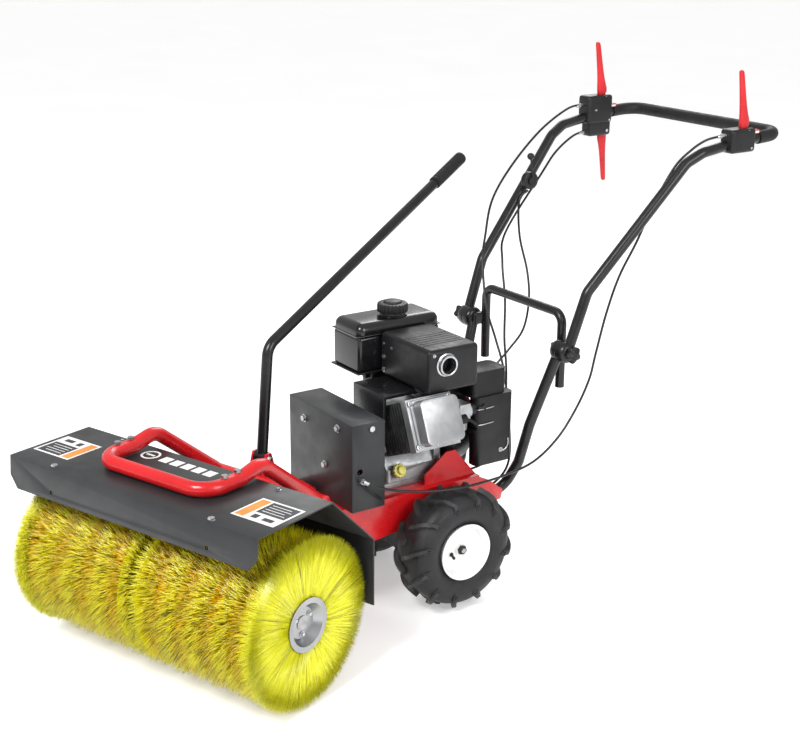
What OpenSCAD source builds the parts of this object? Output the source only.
/* [Brush head] */
// Overall length of the sweeping brush hood
hood_w = 711; // [600:1:760]
// Height of the hood's flat top above the ground
hood_z = 438.6; // [432:0.1:445]
// Sheet thickness of the hood
hood_t = 3; // [2:0.5:4]
// Diameter of the bristles
brush_d = 381.4; // [360:0.1:384]
// Angle that the brush head is swung to at rest
head_yaw = 18.7; // [10:0.1:20]

/* [Chassis] */
// Half width over the two side plates
plate_x = 106; // [100:1:108]
// Height of the deck's top face
deck_z = 274; // [270:1:280]
// Thickness of the side plates and the deck
plate_t = 4; // [3:1:5]

/* [Wheels] */
// Outer radius of the tyres
tyre_r = 148; // [140:1:150]
// Width of a tyre
tyre_w = 109; // [90:1:112]
// Distance from the middle to a tyre's outer face
track_x = 222.5; // [220:0.5:230]

/* [Handle] */
// Outer diameter of the handle tubes
tube_d = 25.4; // [22:0.1:26]
// Outer diameter of the hoop between the handle's joints
hoop_d = 22; // [20:1:24]
// Outer diameter of the soft grip
grip_d = 31; // [29:1:34]
// Diameter of a control cable
cable_d = 6; // [5:0.5:7]

/* [Belt drive] */
// Outer radius of the pulley on the engine's shaft
small_pulley_r = 36; // [34:1:40]
// Outer radius of the pulley on the brush drive shaft
large_pulley_r = 60; // [56:1:62]
// Radius of the engine's shaft
crank_r = 10; // [8:1:12]

/* [Hidden] */
$fn = 48;

// Middle of the footprint, measured from the wheel axle
mid_x = 64.93;
mid_y = -11.92;
// Running clearance of a shaft in its hole, and a gap between loose parts
run = 0.05;
gap = 0.4;

// Swing pivot and the brush's axis
pivot_y = -427;
pivot_back = 268;
brush_y = 46;
brush_r = brush_d / 2;
shaft_z = brush_r;
half_hood = hood_w / 2;
hood_front = -111;
hood_back = 111;
skirt_y = 245;
skirt_z = 160;
slope_z = 312;
lip_drop = 71;
bumper_d = 32;
crossbar = [312, 322];
lock_at = [-40, 86];
quadrant_z = 281;

// Engine and belt
crank_x = -30;
crank_z = 380;
belt_y = -219;
belt_w = 12.8;
belt_h = 8;
groove_deep = 10;
cylinder_tilt = 22.7;

// Handle
fold_y = 298;
fold_z = 571;
fold_x = 182;
wheel_z = tyre_r;
clamp_x = 258;

function between(a, b, t) = a + (b - a) * t;
function mirror_x(points) = [for (p = points) [-p[0], p[1], p[2]]];
function reversed(list) = [for (i = [len(list) - 1:-1:0]) list[i]];

// ---------- helpers ----------
module place() translate([-mid_x, -mid_y, 0]) children();

module head_place()
  place() translate([0, pivot_y, 0]) rotate([0, 0, head_yaw]) translate([0, -pivot_back, 0])
    children();

module bar(a, b, d) {
  v = b - a;
  translate(a) rotate([0, acos(v[2] / norm(v)), atan2(v[1], v[0])])
    cylinder(d = d, h = norm(v));
}

function unit(v) = v / norm(v);
function leg(points, i) = unit(points[i + 1] - points[i]);
function turn(points, i) = acos(leg(points, i - 1) * leg(points, i));

// A corner of a path, taken in steps of at most 18 degrees along an arc of the bend radius
function arc_points(points, i, bend) =
  let (a = leg(points, i - 1), b = leg(points, i), all = turn(points, i), steps = ceil(all / 18),
    out = -unit(b - a * (a * b)), centre = points[i] - a * bend * tan(all / 2) - out * bend,
    reach = bend / cos(all / steps / 2))
  [for (k = [0:steps - 1]) let (t = (k + 0.5) * all / steps)
    centre + reach * (out * cos(t) + a * sin(t))];

function bent(points, bend) = let (last = len(points) - 1)
  [points[0], for (i = [1:last - 1]) each arc_points(points, i, bend), points[last]];

// A round bar swept along a path. No part of the path runs along the direction "past"
module swept(path, d, sides, past) {
  last = len(path) - 1;
  rings = [for (i = [0:last])
    let (along = unit(path[min(i + 1, last)] - path[max(i - 1, 0)]),
      across = unit(cross(along, past)), up = cross(along, across))
    for (k = [0:sides - 1])
      path[i] + d / 2 * (cos(k * 360 / sides) * across + sin(k * 360 / sides) * up)];
  faces = concat(
    [[for (k = [0:sides - 1]) k]],
    [for (i = [0:last - 1], k = [0:sides - 1]) [i * sides + k, (i + 1) * sides + k,
      (i + 1) * sides + (k + 1) % sides, i * sides + (k + 1) % sides]],
    [[for (k = [sides - 1:-1:0]) last * sides + k]]);
  polyhedron(points = rings, faces = faces, convexity = 6);
}

module bent_rod(points, d, bend, past) swept(bent(points, bend), d, 16, past);

module cyl_x(r, x0, x1, y, z) translate([x0, y, z]) rotate([0, 90, 0]) cylinder(r = r, h = x1 - x0);

module cyl_y(r, y0, y1, x, z) translate([x, y1, z]) rotate([90, 0, 0]) cylinder(r = r, h = y1 - y0);

module block(x, y, z) translate([x[0], y[0], z[0]]) cube([x[1] - x[0], y[1] - y[0], z[1] - z[0]]);

module both_sides() {
  children();
  mirror([1, 0, 0]) children();
}

module round_block(x, y, z, r) {
  translate([x[0] + r, y[0] + r, z[0]]) linear_extrude(z[1] - z[0]) union() {
    square([x[1] - x[0] - 2 * r, y[1] - y[0] - 2 * r]);
    translate([-r, 0]) square([x[1] - x[0], y[1] - y[0] - 2 * r]);
    translate([0, -r]) square([x[1] - x[0] - 2 * r, y[1] - y[0]]);
    for (i = [0, 1], j = [0, 1])
      translate([i * (x[1] - x[0] - 2 * r), j * (y[1] - y[0] - 2 * r)]) circle(r = r);
  }
}

module hex_bolt(d, head_h, shank_d, shank_h) {
  cylinder(d = d, h = head_h, $fn = 6);
  translate([0, 0, -shank_h]) cylinder(d = shank_d, h = shank_h + 0.5);
}

// A plate outlined in Y and Z, standing between two X values
module yz_plate(points, x0, x1)
  translate([x0, 0, 0]) rotate([90, 0, 90]) linear_extrude(x1 - x0) polygon(points);

// ---------- chassis ----------
side_outline = [[-275, deck_z - plate_t], [-275, 178], [-192, 176], [-94, 190], [-64, 98], [64, 98],
  [96, 190], [185, 200], [191, 222], [150, 255], [120, deck_z - plate_t]];
gusset_outline = [[-25, deck_z], [-25, 300], [35, 345], [60, 345], [120, deck_z]];

module nose_plate(z)
  difference() {
    union() {
      block([-45, 45], [-268, -262], [z, z + 10]);
      block([-30, 30], [pivot_y, -262], [z, z + 10]);
      translate([0, pivot_y, z]) cylinder(r = 30, h = 10);
    }
    translate([0, pivot_y, z - 1]) cylinder(r = 12 + run, h = 12);
  }

module quadrant() {
  radius = norm(lock_at);
  lock_angle = atan2(lock_at[1], lock_at[0]) + head_yaw;
  difference() {
    union() {
      translate([0, pivot_y, quadrant_z]) rotate([0, 0, 82])
        rotate_extrude(angle = 60) translate([radius - 16, 0]) square([32, 6]);
      block([-75, -10], [-335, -262], [quadrant_z, quadrant_z + 6]);
      block([-75, -10], [-275, -262], [deck_z - 1, quadrant_z + 1]);
    }
    for (i = [0:6])
      translate([0, pivot_y, quadrant_z - 1]) rotate([0, 0, lock_angle - i * 38.7 / 6])
        translate([radius, 0, 0]) cylinder(r = 6.6, h = 9);
    translate([0, pivot_y, quadrant_z - 1]) cylinder(r = radius - 16.5, h = 9);
  }
}

module chassis_frame() color("red") place() {
  difference() {
    union() {
      both_sides() yz_plate(side_outline, plate_x - plate_t, plate_x);
      block([-plate_x, plate_x], [-275, 120], [deck_z - plate_t, deck_z]);
      block([-plate_x + 1, plate_x - 1], [-268, -262], [178, deck_z - 1]);
      block([-plate_x + 1, plate_x - 1], [112, 117], [218, deck_z - 1]);
      yz_plate(gusset_outline, 84, 88);
      nose_plate(247);
      nose_plate(124);
      block([-45, 45], [-268, -262], [124, 190]);
      block([58, 92], [-190, -184], [deck_z - 1, 400]);
      quadrant();
    }
    block([-75, 75], [-245, -191], [deck_z - 10, deck_z + 5]);
    block([-31, 31], [-270, -260], [134, 247]);
    cyl_y(6, 110, 120, 0, 246);
    cyl_y(6 + run, -192, -182, 75, 385);
    both_sides() cyl_x(14, plate_x - 6, plate_x + 2, 0, wheel_z);
    both_sides() cyl_x(5, plate_x - 6, plate_x + 2, 150, 212);
    for (x = [-72, 32], y = [-105, 35]) translate([x, y, deck_z - 6]) cylinder(r = 4.5, h = 10);
  }
}

module transmission() color("dimgray") place() {
  difference() {
    union() {
      round_block([-70, 70], [-58, 84], [96, 226], 18);
      both_sides() cyl_x(30, 60, 84, 0, wheel_z);
      cyl_y(22, 80, 98, 20, 190);
      translate([0, 30, 220]) cylinder(r = 14, h = 14);
    }
    cyl_x(crank_r + run, -90, 90, 0, wheel_z);
  }
}

module bearing_blocks() color("gray") place() {
  for (y = [-290, -350]) difference() {
    block([-28, 28], [y, y + 14], [134 + gap / 2, 247 - gap / 2]);
    cyl_y(12 + run, y - 1, y + 15, 0, shaft_z);
  }
  both_sides() difference() {
    cyl_x(32, 85, plate_x - plate_t - gap / 2, 0, wheel_z);
    cyl_x(crank_r + run, 80, 104, 0, wheel_z);
  }
}

module lower_belt_guard() color("dimgray") place() difference() {
  block([-70, 70], [-248, -188], [122, deck_z - plate_t - gap]);
  block([-67, 67], [-245, -191], [125, deck_z]);
  cyl_y(16, -250, -186, 0, shaft_z);
}

// ---------- belt guard ----------
module belt_guard() color([0.2, 0.2, 0.2]) place() difference() {
  block([-134.5, 134.5], [-256, -169], [deck_z + gap, 479]);
  block([-132, 132], [-253.5, -171.5], [deck_z - 5, 476.5]);
  cyl_y(24, -175, -165, crank_x, crank_z);
  block([-107, 107], [-175, -165], [deck_z - 5, 300]);
  cyl_x(7, 130, 136, -235, 368);
  cyl_x(4, 130, 136, -235, 350);
}

module belt_guard_bolts() color("silver") place() {
  for (p = [[-68, 440], [20, 355], [76, 458]])
    translate([p[0], -256 - gap / 2, p[1]]) rotate([90, 0, 0]) cylinder(d = 14, h = 6, $fn = 6);
  translate([134.5 + gap / 2, -206, 466]) rotate([0, 90, 0]) cylinder(d = 14, h = 6, $fn = 6);
  cyl_x(6.5, 134.5 + gap / 2, 146, -235, 350);
}

// ---------- engine ----------
module along_cylinder(dist)
  translate([crank_x, 0, crank_z]) rotate([0, -cylinder_tilt, 0]) translate([dist, 0, 0]) children();

module crankcase() color("silver") place() difference() {
  union() {
    block([-108, 62], [-122, 52], [deck_z + gap, 288]);
    round_block([-98, 58], [-112, 44], [288, 348], 12);
    round_block([-98, 22], [-118, 50], [345, 436], 14);
    cyl_y(52, -130, -100, crank_x, crank_z);
    translate([56, -88, 312]) rotate([0, 65, 0]) cylinder(r = 15, h = 14);
  }
  cyl_y(crank_r + run, -140, 70, crank_x, crank_z);
  translate([56, -88, 312]) rotate([0, 65, 0]) translate([0, 0, -18]) cylinder(r = 9 + run, h = 34);
  for (x = [-72, 32], y = [-105, 35]) translate([x, y, deck_z - 6]) cylinder(r = 4.5, h = 30);
  along_cylinder(0) block([52.5, 200], [-120, 20], [-90, 90]);
}

module cylinder_block() color([0.15, 0.15, 0.15]) place() along_cylinder(0) {
  block([53, 165], [-92, 2], [-42, 42]);
  for (i = [0:8]) block([64 + i * 11, 69 + i * 11], [-106, 16], [-58, 58]);
}

module valve_cover() color("silver") place() along_cylinder(0) {
  block([165.3, 188], [-106, 18], [-60, 60]);
  block([187, 194], [-99, 12], [-57, 57]);
  translate([193, 0, 0]) rotate([0, 90, 0]) round_block([-52, 52], [-94, 8], [0, 34], 14);
}

module muffler() color([0.25, 0.22, 0.2]) place() {
  round_block([-30, 96], [-38, 74], [524, 602], 20);
  cyl_y(13, -46, -30, 84, 518);
  block([69, 99], [-46, -30], [512, 530]);
}

module muffler_guard() color([0.12, 0.12, 0.12]) place() {
  difference() {
    round_block([-62, 136], [-52, 88], [512, 616], 12);
    round_block([-59, 133], [-49, 85], [505, 613], 10);
    cyl_x(22, 100, 140, -4, 578);
  }
  difference() {
    cyl_x(22.6, 126, 146, -4, 578);
    cyl_x(19, 98, 150, -4, 578);
  }
}

module fuel_tank() color([0.1, 0.1, 0.1]) place() {
  round_block([-180, -66], [-108, 122], [524, 626], 22);
  round_block([-176, -66], [-104, 70], [618, 636], 20);
  translate([-112, 16, 630]) cylinder(r = 30, h = 12);
  block([-188, -64], [-118, 132], [520, 526]);
  round_block([-130, -80], [-60, 60], [470, 522], 10);
  cyl_y(9, -70, -60, -105, 500);
}

module fuel_cap() color([0.08, 0.08, 0.08]) place() translate([-112, 16, 642 + gap / 2]) {
  cylinder(r = 34, h = 22);
  for (a = [0:30:330]) rotate([0, 0, a]) translate([33, 0, 0]) cylinder(r = 4, h = 18);
  translate([0, 0, 21]) cylinder(r = 22, h = 6);
}

module blower_housing() color([0.13, 0.13, 0.13]) place() {
  difference() {
    cyl_y(102, 54, 124, crank_x, crank_z);
    cyl_y(96, 57, 130, crank_x, crank_z);
    cyl_y(18, 50, 60, crank_x, crank_z);
    block([-140, 80], [50, 130], [deck_z - 20, deck_z + gap]);
  }
  difference() {
    block([-60, 66], [-128, 56], [440, 506]);
    block([-64, 70], [-120, 52], [430, 496]);
    along_cylinder(0) block([48, 200], [-114, 24], [-66, 66]);
  }
}

module recoil_cover() color("red") place() difference() {
  union() {
    cyl_y(88, 125 - gap / 2, 140, crank_x, crank_z);
    cyl_y(62, 138, 158, crank_x, crank_z);
    block([-10, 20], [126, 156], [440, 476]);
  }
  cyl_y(82, 120, 136, crank_x, crank_z);
  cyl_y(56, 120, 154, crank_x, crank_z);
  translate([5, 141, 415]) cylinder(r = 6, h = 70);
  for (a = [0:30:330])
    translate([crank_x, 160, crank_z]) rotate([90, 0, 0]) rotate([0, 0, a])
      translate([30, -3, -2]) cube([22, 6, 12]);
}

module starter_grip() color([0.1, 0.1, 0.1]) place() {
  translate([5, 141, 340]) cylinder(r = 2, h = 150);
  translate([-20, 134, 484]) cube([50, 14, 18]);
}

module air_cleaner() color([0.1, 0.1, 0.1]) place() {
  round_block([74, 112], [104, 212], [300, 470], 14);
  round_block([34, 104], [98, 196], [468, 530], 14);
  cyl_y(16, 92, 106, 92, 440);
}

module choke_lever() color([0.3, 0.3, 0.3]) place() {
  cyl_x(6, 112 + gap, 118, 122, 448);
  translate([114, 104, 445]) cube([4, 20, 6]);
}

module carburettor() color("silver") place() difference() {
  union() {
    block([72, 112], [54, 84], [420, 462]);
    cyl_y(18, 20, 92 - gap / 2, 92, 440);
    translate([92, 68, 398]) cylinder(r = 18, h = 24);
  }
  cyl_y(13, 18, 94, 92, 440);
}

module spark_plug() color([0.15, 0.15, 0.15]) place() along_cylinder(176) {
  translate([0, 18.3, -10]) rotate([-90, 0, 0]) cylinder(r = 8, h = 16);
  translate([0, 32, -10]) rotate([-90, 0, 0]) cylinder(r = 11, h = 20);
}

module dipstick() color("yellow") place() translate([56, -88, 312]) rotate([0, 65, 0]) {
  translate([0, 0, 14 + gap]) cylinder(r = 17, h = 10);
  translate([0, 0, -15]) cylinder(r = 9, h = 30);
  translate([0, 0, 22]) block([-14, 14], [-3, 3], [0, 12]);
}

module engine_bolts() color("silver") place()
  for (x = [-72, 32], y = [-105, 35]) translate([x, y, deck_z - plate_t - gap]) rotate([180, 0, 0])
    hex_bolt(14, 6, 7.6, 15);

module crankshaft() color("silver") place() cyl_y(crank_r, -243, 100, crank_x, crank_z);

module pulley(outer, bore, width) rotate([90, 0, 0]) rotate_extrude() polygon([
  [bore, -width / 2], [outer, -width / 2], [outer, -belt_w / 2 - gap],
  [outer - groove_deep, -belt_w / 2 - gap], [outer - groove_deep, belt_w / 2 + gap],
  [outer, belt_w / 2 + gap], [outer, width / 2], [bore, width / 2]]);

module drive_pulley() color("dimgray") place() translate([crank_x, belt_y, crank_z])
  pulley(small_pulley_r, crank_r + run, 22);

module driven_pulley() color("dimgray") place() translate([0, belt_y, shaft_z])
  pulley(large_pulley_r, 12 + run, 22);

module flywheel() color("gray") place() difference() {
  union() {
    cyl_y(84, 74, 88, crank_x, crank_z);
    for (a = [0:24:336]) translate([crank_x, 88, crank_z]) rotate([-90, 0, 0]) rotate([0, 0, a])
      translate([48, -1.5, -1]) cube([32, 3, 16]);
  }
  cyl_y(crank_r + run, 70, 110, crank_x, crank_z);
}

// Outline round two pulleys: two circles and the four points where the belt leaves them
module belt_outline(r1, r2) {
  reach = [crank_x, crank_z - shaft_z];
  lean = atan2(reach[1], reach[0]);
  spread = acos((r1 - r2) / norm(reach));
  circle(r = r1);
  translate(reach) circle(r = r2);
  polygon([
    r1 * [cos(lean - spread), sin(lean - spread)],
    reach + r2 * [cos(lean - spread), sin(lean - spread)],
    reach + r2 * [cos(lean + spread), sin(lean + spread)],
    r1 * [cos(lean + spread), sin(lean + spread)]]);
}

belt_in1 = large_pulley_r - groove_deep + 0.5;
belt_in2 = small_pulley_r - groove_deep + 0.5;

module drive_belt() color([0.08, 0.08, 0.08]) place()
  translate([0, belt_y + belt_w / 2, shaft_z]) rotate([90, 0, 0]) linear_extrude(belt_w)
    difference() {
      belt_outline(belt_in1 + belt_h, belt_in2 + belt_h);
      belt_outline(belt_in1, belt_in2);
    }

// The shaft ends in the cup of a ball-type joint, which lets the brush head swing
module drive_shaft() color("silver") place() {
  cyl_y(12, pivot_y + 28, -186, 0, shaft_z);
  translate([0, pivot_y, shaft_z]) rotate([-90, 0, 0]) rotate_extrude() difference() {
    circle(r = 32);
    circle(r = 24.5);
    translate([-40, -48]) square([80, 40]);
    translate([-40, -40]) square([40, 80]);
  }
}

idler_at = [58.4, 306.7];

idler_pivot = [75, 385];
arm_lean = atan2(idler_pivot[0] - idler_at[0], idler_pivot[1] - idler_at[1]);

module idler_arm() color("goldenrod") place() {
  difference() {
    union() {
      cyl_y(12, -201, -196, idler_pivot[0], idler_pivot[1]);
      cyl_y(11, -201, -196, idler_at[0], idler_at[1]);
      translate([idler_pivot[0], -201, idler_pivot[1]]) rotate([0, 180 + arm_lean, 0])
        translate([-8, 0, 0]) cube([16, 5, norm(idler_pivot - idler_at)]);
    }
    cyl_y(7 + run, -205, -190, idler_at[0], idler_at[1]);
  }
  cyl_y(6, -197, -184, idler_pivot[0], idler_pivot[1]);
}

module idler_pulley() color("gray") place() {
  difference() {
    cyl_y(18, -226, -212, idler_at[0], idler_at[1]);
    cyl_y(6, -230, -222, idler_at[0], idler_at[1]);
  }
  cyl_y(7, -214, -194, idler_at[0], idler_at[1]);
}

// ---------- brush head ----------
lip_reach = 5;
lip_foot = [hood_front - lip_reach, hood_z - lip_drop];
lip_lean = atan(lip_reach / lip_drop);
lip_hole_x = 225;
lip_hole_z = 385;
slope_dir = [skirt_y - hood_back, slope_z - hood_z] / norm([skirt_y - hood_back, slope_z - hood_z]);

module hood_section() {
  inner_y = skirt_y - hood_t;
  corner = [hood_back, hood_z] + hood_t * [slope_dir[1], -slope_dir[0]];
  top_inner = corner + slope_dir * ((hood_z - hood_t - corner[1]) / slope_dir[1]);
  back_inner = corner + slope_dir * ((inner_y - corner[0]) / slope_dir[0]);
  polygon([lip_foot, [hood_front, hood_z], [hood_back, hood_z], [skirt_y, slope_z],
    [skirt_y, skirt_z], [inner_y, skirt_z], back_inner, top_inner,
    [hood_front + hood_t, hood_z - hood_t], lip_foot + [hood_t, 0]]);
}

module hood() color([0.23, 0.24, 0.25]) head_place() difference() {
  translate([-half_hood, 0, 0]) rotate([90, 0, 90]) linear_extrude(hood_w) hood_section();
  block([-75, 75], [skirt_y - 20, skirt_y + 20], [skirt_z - 5, 300]);
  both_sides() translate([half_hood, hood_front - 20, lip_foot[1] - 10]) rotate([-90, 0, 0])
    linear_extrude(40) polygon([[-24, -8], [2, -40], [2, 2], [-24, 2]]);
  for (x = [-lip_hole_x, lip_hole_x])
    translate([x, hood_front - lip_reach * (hood_z - lip_hole_z) / lip_drop, lip_hole_z])
      rotate([90 - lip_lean, 0, 0]) translate([0, 0, -12]) cylinder(r = 4.5, h = 24);
}

module head_frame() color("red") head_place() difference() {
  union() {
    for (z = [[258, 270], [111, 123]]) {
      block([-18, 18], [112, 245], z);
      block([-28, 28], [240, pivot_back], z);
      translate([0, pivot_back, z[0]]) cylinder(r = 28, h = z[1] - z[0]);
    }
    block([-42, 42], [252, 330], [258, 270]);
    block([-18, 18], [112, 120], [112, 269]);
    both_sides() block([28, 42], [298, 326], [269, crossbar[1]]);
    cyl_x(bumper_d / 2, -168, 168, crossbar[0], crossbar[1]);
    both_sides() yz_plate([[skirt_y + gap / 2, 235], [skirt_y + gap / 2, 290], [300, 326],
      [316, 314]], 90, 98);
    for (x = [-62, -24]) yz_plate([[318, 296], [318, 345], [330, 384], [346, 384],
      [372, 304], [372, 296]], x, x + 6);
    block([-62, -18], [318, 372], [296, 304]);
  }
  translate([0, pivot_back, 100]) cylinder(r = 12 + run, h = 180);
  cyl_y(16, 100, 125, 0, shaft_z);
  translate([lock_at[0], pivot_back + lock_at[1], 290]) cylinder(r = 6 + run, h = 20);
  cyl_x(5 + run, -66, -14, 338, 372);
}

bumper_half = [[150, 299, 332], [154, 122, 469], [155, 60, 456], [154, -40, 456]];

module bumper() color("red") head_place()
  bent_rod(concat(bumper_half, reversed(mirror_x(bumper_half))), bumper_d, 50, [0, 0.5, 1]);

module bumper_bolts() color("silver") head_place() {
  for (x = [-155, 155], y = [14, 52]) {
    translate([x, y, 472 + gap / 2]) cylinder(d = 15, h = 6, $fn = 6);
    translate([x, y, hood_z - hood_t - 8]) cylinder(d = 15, h = 7.8, $fn = 6);
  }
  for (x = [-226, 226]) translate([x, -100, hood_z + gap / 2]) cylinder(d = 15, h = 5, $fn = 6);
}

// Teeth are short bars along the pitch cone of a pair of bevel gears with a 1 to 2 ratio
pinion_r = 13;
gear_r = 26;

module bevel(r_out, cone, teeth, phase) {
  axis_len = r_out / tan(cone);
  translate([0, 0, axis_len - 7]) cylinder(r1 = r_out - 3.5 - 7 * tan(cone), r2 = r_out - 3.5, h = 7);
  for (i = [0:teeth - 1]) rotate([0, 0, i * 360 / teeth + phase])
    translate([r_out, 0, axis_len]) rotate([0, cone, 0]) translate([-4.4, -1.15, -9])
      cube([4.7, 2.3, 9]);
}

module gearbox() color([0.2, 0.2, 0.2]) head_place() difference() {
  union() {
    cyl_x(54, -20.5, 20.5, brush_y, shaft_z);
    block([-18, 18], [brush_y, 112 - gap / 2], [shaft_z - 36, shaft_z + 36]);
  }
  cyl_x(47, -18, 18, brush_y, shaft_z);
  block([-15, 15], [brush_y, 104], [shaft_z - 28, shaft_z + 28]);
  cyl_x(15 + run, -40, 40, brush_y, shaft_z);
  cyl_y(10 + run, 100, 114, 0, shaft_z);
}

module input_shaft() color("silver") head_place() {
  cyl_y(10, brush_y + gear_r - 4, pivot_back - 20, 0, shaft_z);
  translate([0, pivot_back, shaft_z]) sphere(r = 24);
  translate([0, brush_y, shaft_z]) rotate([-90, 0, 0])
    bevel(pinion_r, atan(pinion_r / gear_r), 12, 15);
}

module brush_shaft() color("silver") head_place() {
  cyl_x(15, -328, 328, brush_y, shaft_z);
  translate([0, brush_y, shaft_z]) rotate([0, 90, 0])
    bevel(gear_r, atan(gear_r / pinion_r), 24, 0);
}

module brush(x0, x1) color("yellow") head_place() difference() {
  cyl_x(brush_r, x0, x1, brush_y, shaft_z);
  cyl_x(58, x0 - 1, x1 + 1, brush_y, shaft_z);
}

module brush_left() brush(23, 341);

module brush_right() brush(-341, -23);

module brush_hubs() color("silver") head_place() both_sides() {
  translate([0, brush_y, shaft_z]) rotate([0, 90, 0]) rotate_extrude() polygon([
    [15 + run, 318], [15 + run, 326], [34, 326], [46, 343], [57.8, 343], [57.8, 23.5],
    [52, 23.5], [52, 336], [48, 336], [36, 318]]);
  translate([0, brush_y, shaft_z]) rotate([0, 90, 0]) rotate_extrude() polygon([
    [15 + run, 26], [52.5, 26], [52.5, 34], [15 + run, 34]]);
}

module pivot_pins() color("silver") head_place() for (z = [[238, 278], [103, 143]]) {
  translate([0, pivot_back, z[0]]) cylinder(r = 12, h = z[1] - z[0]);
}

lever_x = -40;
lever_path = [[lever_x, 339, 374], [lever_x, 366, 625], [lever_x, 1104, 947]];

module swing_lever() color([0.12, 0.12, 0.12]) head_place() {
  bent_rod(lever_path, 25, 40, [1, 0, 0]);
  cyl_x(14, lever_x - 15.4, lever_x + 15.4, 338, 372);
  cyl_x(5, -64, -16, 338, 372);
}

grip_start = between(lever_path[1], lever_path[2], 0.85);
grip_dir = unit(lever_path[2] - lever_path[1]);

module swing_grip() color([0.08, 0.08, 0.08]) head_place() difference() {
  bar(grip_start, lever_path[2] + grip_dir * 4, 31);
  bar(grip_start - grip_dir, lever_path[2] + grip_dir * 0.2, 25 + 2 * run);
}

module lock_pin() color("silver") head_place() translate([lock_at[0], pivot_back + lock_at[1], 0]) {
  translate([0, 0, quadrant_z + 7]) cylinder(r = 6, h = 40);
  translate([0, 0, 322]) cylinder(r = 9, h = 8);
}

// ---------- wheels ----------
module turned_x(side) translate([0, 0, wheel_z]) rotate([0, 90 * side, 0]) rotate_extrude() children();

module tyre(side) color([0.1, 0.1, 0.1]) place() {
  out = track_x;
  in = track_x - tyre_w;
  turned_x(side) polygon([[66, in + 8], [96, in], [128, in + 4], [tyre_r - 6, in + 18],
    [tyre_r, in + 36], [tyre_r, out - 36], [tyre_r - 6, out - 18], [128, out - 4], [96, out],
    [66, out - 8], [60, out - 16], [60, in + 16]]);
}

module rim(side) color("white") place() {
  turned_x(side) polygon([[0, 70], [crank_r, 70], [crank_r, 125], [17, 125], [17, 164],
    [40, 168], [54, 180], [55, 134], [65, 118], [68, 118], [59.8, 136], [59.8, 198],
    [68, 219], [64, 221], [56, 198], [56, 186], [38, 176], [17, 172], [17, 208], [0, 208]]);
}

module tyre_left() tyre(1);

module tyre_right() tyre(-1);

module rim_left() rim(1);

module rim_right() rim(-1);

// ---------- handle ----------
lower_path = [[87, 20, 186], [87, 209, 219], [112, 232, 286], [140, 239, 388],
  [166, fold_y, fold_z - 6]];
upper_half = [[194.5, fold_y, fold_z - 6], [200, 348, 709], [243, 596, 992], [252, 640, 1015],
  [clamp_x, 757, 1033], [clamp_x, 888, 1041]];
hoop_half = [[146, 322, 470], [146, 322, 650]];

module lower_handle() color([0.12, 0.12, 0.12]) place() both_sides() difference() {
  union() {
    bent_rod(lower_path, tube_d, 50, [1, 0, 0]);
    cyl_x(26, 158, fold_x - gap / 2, fold_y, fold_z);
    block([146, 160], [fold_y - 8, 330], [fold_z - 14, fold_z + 14]);
  }
  cyl_x(4 + run, 120, 190, fold_y, fold_z);
  translate([146, 322, 540]) cylinder(r = hoop_d / 2 + run, h = 60);
}

module handle_hoop() color([0.12, 0.12, 0.12]) place()
  bent_rod(concat(hoop_half, reversed(mirror_x(hoop_half))), hoop_d, 28, [0, 1, 0]);

module upper_handle() color([0.12, 0.12, 0.12]) place() difference() {
  union() {
    bent_rod(concat(upper_half, reversed(mirror_x(upper_half))), tube_d, 45, [0, -0.6, 0.8]);
    both_sides() cyl_x(26, fold_x + gap / 2, 208, fold_y, fold_z);
  }
  both_sides() cyl_x(4 + run, 180, 212, fold_y, fold_z);
}

grip_half = [between(upper_half[4], upper_half[5], 0.4), upper_half[5]];

module grip_cover() color([0.1, 0.1, 0.1]) place()
  bent_rod(concat(grip_half, reversed(mirror_x(grip_half))), grip_d, 45, [0, -0.6, 0.8]);

module knob(side) color([0.1, 0.1, 0.1]) place() scale_side(side) {
  cyl_x(4, 150, 216, fold_y, fold_z);
  difference() {
    cyl_x(21, 209.5, 226, fold_y, fold_z);
    for (a = [0:72:288]) translate([200, fold_y, fold_z]) rotate([a, 0, 0])
      translate([0, 26, 0]) rotate([0, 90, 0]) cylinder(r = 9, h = 40);
  }
  cyl_x(12, 225, 230, fold_y, fold_z);
}

module scale_side(side) {
  if (side > 0) children();
  else mirror([1, 0, 0]) children();
}

module knob_left() knob(1);

module knob_right() knob(-1);

// A block clamped round the tube: the bore follows the tube's two straight runs
module clamp_body(x, y, z) difference() {
  block([x - 22, x + 22], y, z);
  for (i = [3, 4]) {
    a = upper_half[i];
    b = upper_half[i + 1];
    fall = unit(b - a) * 30;
    bar([sign(x) * a[0], a[1], a[2]] - [sign(x) * fall[0], fall[1], fall[2]],
      [sign(x) * b[0], b[1], b[2]] + [sign(x) * fall[0], fall[1], fall[2]], tube_d + 0.4);
  }
}

near_pin = [760, 1057];
far_pin = [772, 1076];
low_pin = [780, 990];
near_front = 706;
far_front = 712;
slot_z = 1047;

module pin_hole(x, pin) cyl_x(4 + run, x - 30, x + 30, pin[0], pin[1]);

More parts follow.
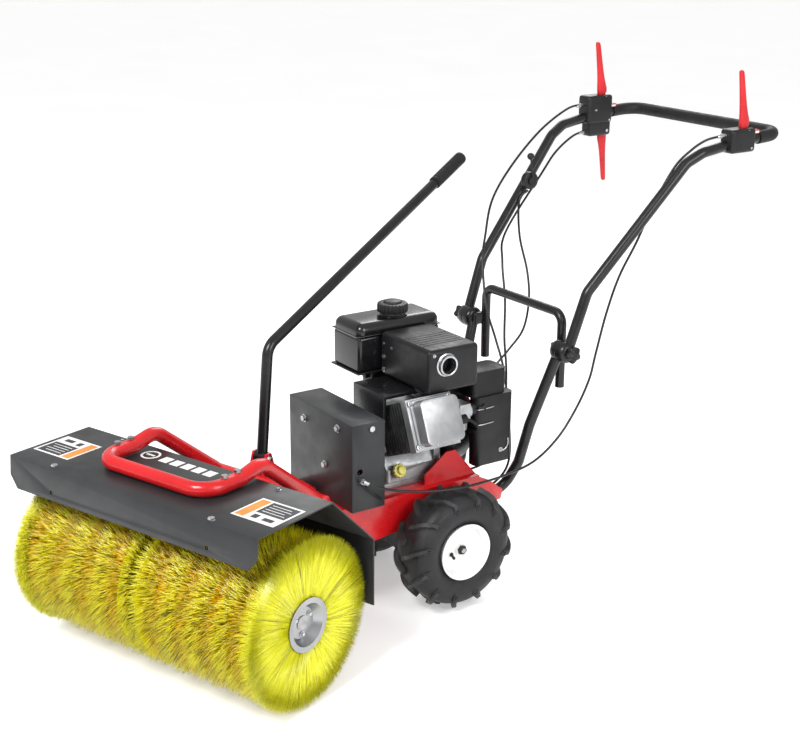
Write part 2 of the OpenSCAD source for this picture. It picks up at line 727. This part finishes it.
// Each housing clamps the tube and has a slot, open at the back, for its hand lever
module control_housings() color([0.1, 0.1, 0.1]) place() {
  difference() {
    clamp_body(clamp_x, [near_front, 784], [1008, near_pin[1] + 7]);
    block([clamp_x - 7, clamp_x + 7], [747, 790], [slot_z, near_pin[1] + 10]);
    pin_hole(clamp_x, near_pin);
  }
  difference() {
    union() {
      clamp_body(-clamp_x, [far_front, 796], [1010, far_pin[1] + 7]);
      difference() {
        block([-clamp_x - 18, -clamp_x + 18], [far_front + 10, 796], [977, 1014.5]);
        bar([-252, 640, 1015], [-258, 757, 1033], tube_d + 0.4);
      }
    }
    block([-clamp_x - 7, -clamp_x + 7], [758, 802], [slot_z, far_pin[1] + 10]);
    block([-clamp_x - 7, -clamp_x + 7], [764, 802], [970, 1010]);
    pin_hole(-clamp_x, far_pin);
    pin_hole(-clamp_x, low_pin);
  }
  cyl_x(22, -205, -189, 490, 893);
}

lever_t = 13;

module hand_lever(x, pin, points) {
  yz_plate([for (p = points) pin + p], x - lever_t / 2, x + lever_t / 2);
  cyl_x(4, x - 21, x + 21, pin[0], pin[1]);
}

blade = [[-8, -4], [-16, 60], [-24, 138], [-16, 142], [-10, 130], [14, 20], [8, -4]];
low_blade = [[-8, 6], [-4, -60], [4, -130], [12, -136], [16, -126], [16, -40], [10, 6]];

module brush_lever() color("red") place() hand_lever(clamp_x, near_pin, blade);

module drive_lever() color("red") place() hand_lever(-clamp_x, far_pin, blade);

module reverse_lever() color("red") place() hand_lever(-clamp_x, low_pin, low_blade);

module throttle_lever() color([0.1, 0.1, 0.1]) place() {
  cyl_x(10, -188.6, -184, 490, 893);
  bar([-186.5, 492, 898], [-186.5, 484, 952], 5);
  translate([-186.5, 483, 956]) sphere(r = 9);
}

// Routes of the control cables, chosen by hand
brush_cable = [[256, 705, 1050], [253, 680, 1048], [246, 650, 1041], [236, 618, 1021],
  [225, 578, 983], [214, 530, 901], [209, 485, 812],
  [205, 440, 735], [200, 410, 648], [190, 392, 549], [180, 384, 484], [166, 358, 410],
  [160, 310, 345], [168, 235, 306], [188, 140, 300], [205, 45, 304], [205, -20, 306],
  [192, -90, 310], [168, -155, 318], [163, -212, 338], [149.5, -235, 350]];
drive_cable = [[-258, 711, 1060], [-254, 655, 1054], [-240, 555, 1008], [-215, 445, 932],
  [-180, 359, 860], [-140, 309, 783], [-110, 280, 732], [-60, 255, 634], [-20, 256, 557],
  [20, 252, 490], [50, 248, 380], [60, 244, 270], [56, 205, 220], [40, 150, 198], [20, 99, 190]];
reverse_cable = [[-258, 721, 990], [-252, 675, 982], [-243, 612, 948], [-226, 551, 898],
  [-172, 398, 776], [-130, 357, 713], [-90, 337, 629], [-40, 299, 546], [0, 276, 480],
  [16, 264, 380], [20, 250, 290], [12, 190, 252], [0, 120, 246], [0, 48, 240], [0, 38, 235]];
throttle_cable = [[-197, 486, 868], [-201, 462, 842], [-190, 458, 755], [-160, 462, 669],
  [-120, 438, 605], [-80, 390, 546], [-40, 312, 514], [-2, 250, 502],
  [30, 226, 500], [44, 198.4, 500]];

function curve_point(a, b, c, d, t) =
  0.5 * (2 * b + (c - a) * t + (2 * a - 5 * b + 4 * c - d) * t * t
    + (3 * b - a - 3 * c + d) * t * t * t);

// A smooth curve through a route's points, with one more ring halfway along each step
function smooth_route(p) = [for (i = [0:len(p) - 2], t = [0, 0.5])
  curve_point(p[max(i - 1, 0)], p[i], p[i + 1], p[min(i + 2, len(p) - 1)], t), p[len(p) - 1]];

module cable(route) swept(smooth_route(route), cable_d, 8, [1, 0.3, 0]);

module control_cables() color([0.05, 0.05, 0.05]) place() {
  cable(brush_cable);
  cable(drive_cable);
  cable(reverse_cable);
  cable(throttle_cable);
}

chassis_frame();
transmission();
bearing_blocks();
lower_belt_guard();
belt_guard();
belt_guard_bolts();
crankcase();
cylinder_block();  // cylinder
valve_cover();
muffler();
muffler_guard();
fuel_tank();
fuel_cap();
blower_housing();
recoil_cover();
starter_grip();
air_cleaner();
choke_lever();
carburettor();
spark_plug();
dipstick();
engine_bolts();
crankshaft();
drive_pulley();
flywheel();
drive_belt();
driven_pulley();
drive_shaft();
idler_arm();
idler_pulley();
hood();
head_frame();
bumper();
bumper_bolts();
gearbox();
input_shaft();
brush_shaft();
brush_left();
brush_right();
brush_hubs();
pivot_pins();
swing_lever();
swing_grip();
lock_pin();
tyre_left();
tyre_right();
rim_left();
rim_right();
lower_handle();
handle_hoop();
upper_handle();
grip_cover();
knob_left();
knob_right();
control_housings();
brush_lever();
drive_lever();
reverse_lever();
throttle_lever();
control_cables();
